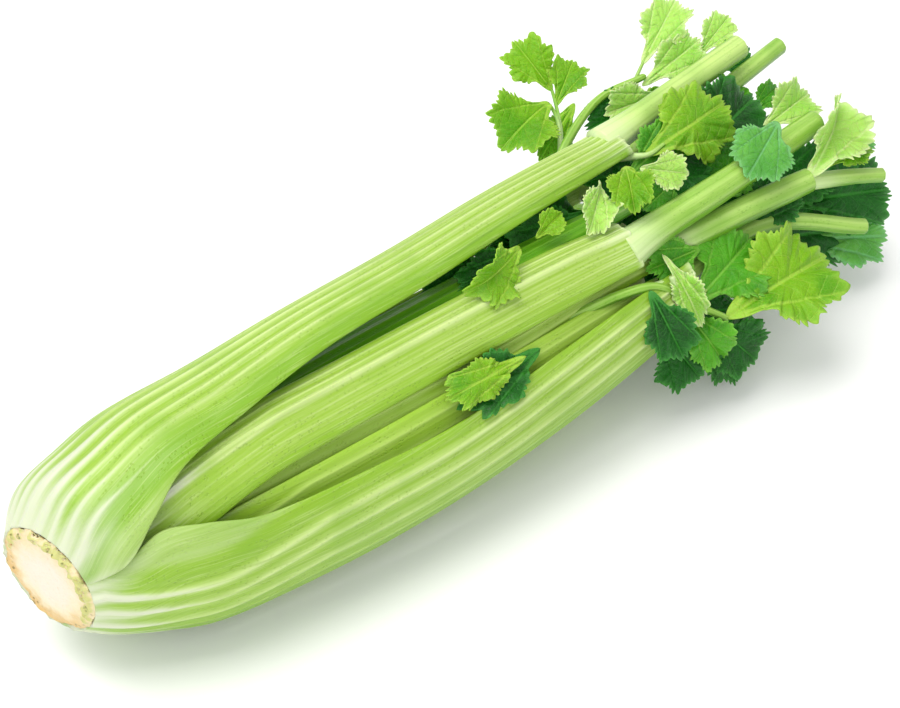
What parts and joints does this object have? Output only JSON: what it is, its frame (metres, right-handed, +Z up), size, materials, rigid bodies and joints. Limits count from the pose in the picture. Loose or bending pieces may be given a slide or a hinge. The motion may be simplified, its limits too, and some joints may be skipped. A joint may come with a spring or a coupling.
{
  "type": "head of celery",
  "caption": "Head of celery lying on its side: a cut root crown, nested ribbed stalks that curve out and back together, cut upper stems and lobed leaves.",
  "frame": {"origin": "under the middle of the head's bounding box, on the surface it lies on", "axes": "+X from the cut crown to the leaves, +Z up, -Y towards the side where the second layer of stalks shows"},
  "size_m": [0.3909, 0.1741, 0.0999],
  "materials": {
    "crown_flesh": "cut flesh, matt and slightly moist, cream with a tan rim",
    "outer_stalk": "smooth ribbed skin, soft sheen, white at the base to yellow-green",
    "middle_stalk": "smooth ribbed skin, soft sheen, light yellow-green",
    "inner_stalk": "smooth ribbed skin, soft sheen, pale green",
    "heart_stalk": "smooth skin, soft sheen, pale yellow",
    "stem": "smooth skin, soft sheen, light green",
    "leaf_bright": "thin leaf, soft sheen, bright yellow-green with pale veins",
    "leaf_mid": "thin leaf, soft sheen, mid green with pale veins",
    "leaf_dark": "thin leaf, soft sheen, dark green with paler veins",
    "leaf_pale": "thin leaf, soft sheen, pale green, almost white at the teeth"
  },
  "bodies": {
    "root": {"crown": "crown_flesh", "heart_stalk_front": "heart_stalk", "heart_stalk_top": "heart_stalk", "heart_stalk_under": "heart_stalk", "inner_stalk_back": "inner_stalk", "inner_stalk_front": "inner_stalk", "inner_stalk_top": "inner_stalk", "inner_stalk_under_back": "inner_stalk", "inner_stalk_under_front": "inner_stalk", "inner_stalk_upper_front": "inner_stalk", "inner_stem_cut_end": "stem", "inner_stem_front": "stem", "inner_stem_low": "stem", "leaf_back_hanging": "leaf_bright", "leaf_back_narrow": "leaf_pale", "leaf_back_side": "leaf_bright", "leaf_back_tip": "leaf_bright", "leaf_behind_bright": "leaf_mid", "leaf_behind_fan": "leaf_dark", "leaf_between_bright": "leaf_bright", "leaf_between_high": "leaf_pale", "leaf_between_low": "leaf_bright", "leaf_between_pale": "leaf_pale", "leaf_between_small": "leaf_pale", "leaf_bluish": "leaf_mid", "leaf_bright_front": "leaf_bright", "leaf_end_bluish": "leaf_mid", "leaf_end_dark": "leaf_dark", "leaf_end_low": "leaf_dark", "leaf_fan": "leaf_bright", "leaf_far_end": "leaf_mid", "leaf_far_floor": "leaf_dark", "leaf_far_side": "leaf_mid", "leaf_floor": "leaf_dark", "leaf_floor_far": "leaf_dark", "leaf_folded": "leaf_pale", "leaf_front_gap": "leaf_bright", "leaf_pale_edge": "leaf_pale", "leaf_stalk_back": "stem", "leaf_stalk_front": "stem", "leaf_top_low": "leaf_pale", "leaf_top_pale": "leaf_pale", "leaf_top_small": "leaf_pale", "leaf_upright": "leaf_bright", "middle_stalk_back_high": "middle_stalk", "middle_stalk_back_low": "middle_stalk", "middle_stalk_front": "middle_stalk", "middle_stalk_under": "middle_stalk", "outer_stalk_front": "outer_stalk", "outer_stalk_top": "outer_stalk", "outer_stalk_under": "outer_stalk", "upper_stem_back": "stem", "upper_stem_back_low": "stem", "upper_stem_front": "stem", "upper_stem_top": "stem", "upper_stem_under": "stem"}
  },
  "joints": []
}
